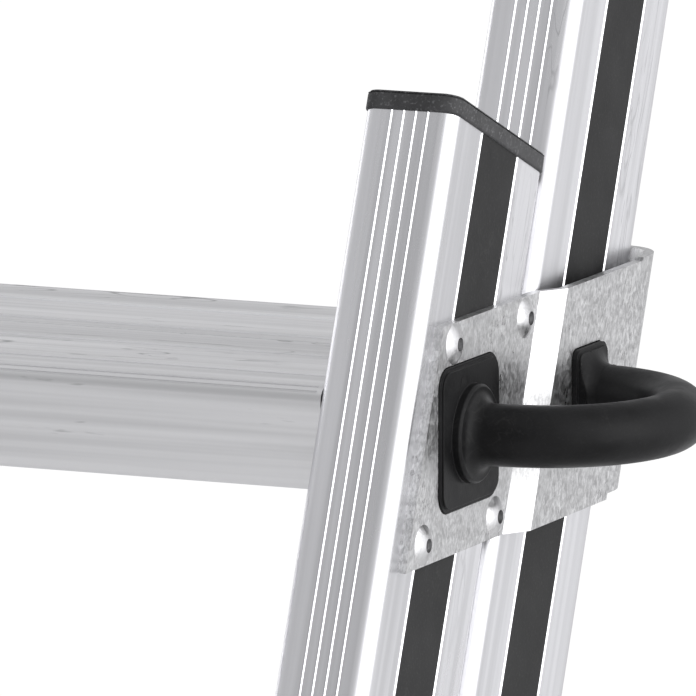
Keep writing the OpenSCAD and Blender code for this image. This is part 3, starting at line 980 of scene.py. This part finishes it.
@dataclass
class Softbox:
    """A large soft lamp aimed at a point."""

    name: str
    azimuth: float
    elevation: float
    distance: float
    width: float
    height: float
    power: float
    colour: tuple = (1.0, 1.0, 1.0)

    def hang(self, target: Vector) -> bpy.types.Object:
        """Make the lamp.

        Args:
            target: the point it shines at.

        Returns:
            The lamp.
        """
        lamp = bpy.data.lights.new(self.name, "AREA")
        lamp.shape = "RECTANGLE"
        lamp.size = self.width
        lamp.size_y = self.height
        lamp.energy = self.power
        lamp.color = self.colour
        hung = bpy.data.objects.new(self.name, lamp)
        bpy.context.scene.collection.objects.link(hung)
        across, up = math.radians(self.azimuth), math.radians(self.elevation)
        away = Vector((math.sin(across) * math.cos(up), -math.cos(across) * math.cos(up), math.sin(up)))
        hung.location = target + away * self.distance
        hung.rotation_mode = "QUATERNION"
        hung.rotation_quaternion = away.to_track_quat("Z", "Y")
        return hung


@dataclass(frozen=True)
class Glow:
    """A part of the room that is brighter, or darker, than the rest.

    The light changes by more, between the cosines first and last of the angle from the aim.
    """

    aim: tuple
    first: float
    last: float
    more: float


@dataclass
class Studio:
    """Camera, lamps, surroundings and floor."""

    azimuth: float = 23.82
    elevation: float = 9.29
    lens: float = 672.4
    distance: float = 4.0016
    target: Vector = field(default_factory=lambda: Vector((0.16835, -0.74008, -1.30921)))
    sensor: float = 36.0
    floor_size: float = 9.0
    floor_sides: int = 96
    backdrop: float = 1.03
    room: float = 0.68
    room_colour: tuple = (0.985, 0.985, 1.0, 1.0)
    glows: tuple = (
        Glow((0.40, 0.90, -0.16), 0.55, 0.98, 0.12),
        Glow((0.97, -0.10, 0.20), 0.45, 0.75, 1.2),
        Glow((0.0, 0.0, 1.0), 0.5, 0.95, 0.12),
        Glow((-0.40, -0.755, 0.52), 0.6, 0.95, -0.12),
    )
    softboxes: tuple = (
        Softbox("key_right", 84.0, 14.0, 4.5, 3.0, 4.4, 104.0),
        Softbox("rim_left", -114.0, 8.0, 4.5, 1.6, 4.0, 40.0),
        Softbox("fill_top", 10.0, 62.0, 4.5, 3.5, 3.5, 12.0),
    )

    def camera(self) -> bpy.types.Object:
        """Set up the camera.

        Returns:
            The camera.
        """
        data = bpy.data.cameras.new("camera")
        data.lens = self.lens
        data.sensor_width = self.sensor
        data.clip_start = 0.1
        data.clip_end = 200.0
        made = bpy.data.objects.new("camera", data)
        bpy.context.scene.collection.objects.link(made)
        across, up = math.radians(self.azimuth), math.radians(self.elevation)
        back = Vector((math.sin(across) * math.cos(up), -math.cos(across) * math.cos(up), math.sin(up)))
        made.location = self.target + back * self.distance
        made.rotation_mode = "QUATERNION"
        made.rotation_quaternion = back.to_track_quat("Z", "Y")
        bpy.context.scene.camera = made
        return made

    def surroundings(self) -> None:
        """Set the room's own light: pale, with its glows."""
        world = bpy.data.worlds.new("studio")
        bpy.context.scene.world = world
        world.use_nodes = True
        world.node_tree.nodes.clear()
        bench = NodeBench(world.node_tree)
        direction = bench.add("ShaderNodeTexCoord").outputs["Generated"]
        level = self.room
        for glow in self.glows:
            nearness = bench.toward(direction, glow.aim)
            level = bench.maths("ADD", level, bench.remap(nearness, glow.first, glow.last, 0.0, glow.more))
        seen = bench.add("ShaderNodeLightPath").outputs["Is Camera Ray"]
        plain = bench.add("ShaderNodeBackground")
        bench.feed(plain, Color=(1.0, 1.0, 1.0, 1.0), Strength=self.backdrop)
        soft = bench.add("ShaderNodeBackground")
        bench.feed(soft, Color=self.room_colour, Strength=level)
        both = bench.add("ShaderNodeMixShader")
        bench.wire(seen, both.inputs[0])
        bench.wire(soft.outputs[0], both.inputs[1])
        bench.wire(plain.outputs[0], both.inputs[2])
        output = bench.add("ShaderNodeOutputWorld")
        bench.wire(both.outputs[0], output.inputs[0])

    def floor(self) -> bpy.types.Object:
        """Lay the floor under the soles.

        Returns:
            The floor.
        """
        low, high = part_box("sole_right")
        half = self.floor_size / 2
        mesh = bpy.data.meshes.new("studio_floor")
        shape = bmesh.new()
        bmesh.ops.create_circle(shape, cap_ends=True, radius=half, segments=self.floor_sides)
        shape.to_mesh(mesh)
        shape.free()
        laid = bpy.data.objects.new("studio_floor", mesh)
        laid.location = (0.0, (low.y + high.y) / 2, low.z)
        mesh.materials.append(FLOOR_PAINT.material())
        bpy.context.scene.collection.objects.link(laid)
        return laid

    def build(self) -> None:
        """Set up everything that isn't the ladder."""
        bpy.context.scene.view_settings.view_transform = "Standard"
        self.camera()
        for softbox in self.softboxes:
            softbox.hang(self.target)
        self.surroundings()
        self.floor()


# ---------------------------------------------------------------- the whole


def main() -> None:
    """Build the studio and dress the whole ladder."""
    logging.basicConfig(level=logging.INFO, format="%(name)s %(message)s")
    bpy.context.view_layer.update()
    parts = (
        Studio(),
        Section("lower", 7, ("lower_cap",)),
        Section("upper", 7, ("upper_cap", "end_cap")),
        GuideWraps(),
        HandGrips(),
        Hardware(),
        BoltThreads(),
    )
    for part in parts:
        part.build()
        LOG.info("built %s", type(part).__name__)


if __name__ == "__main__":
    main()
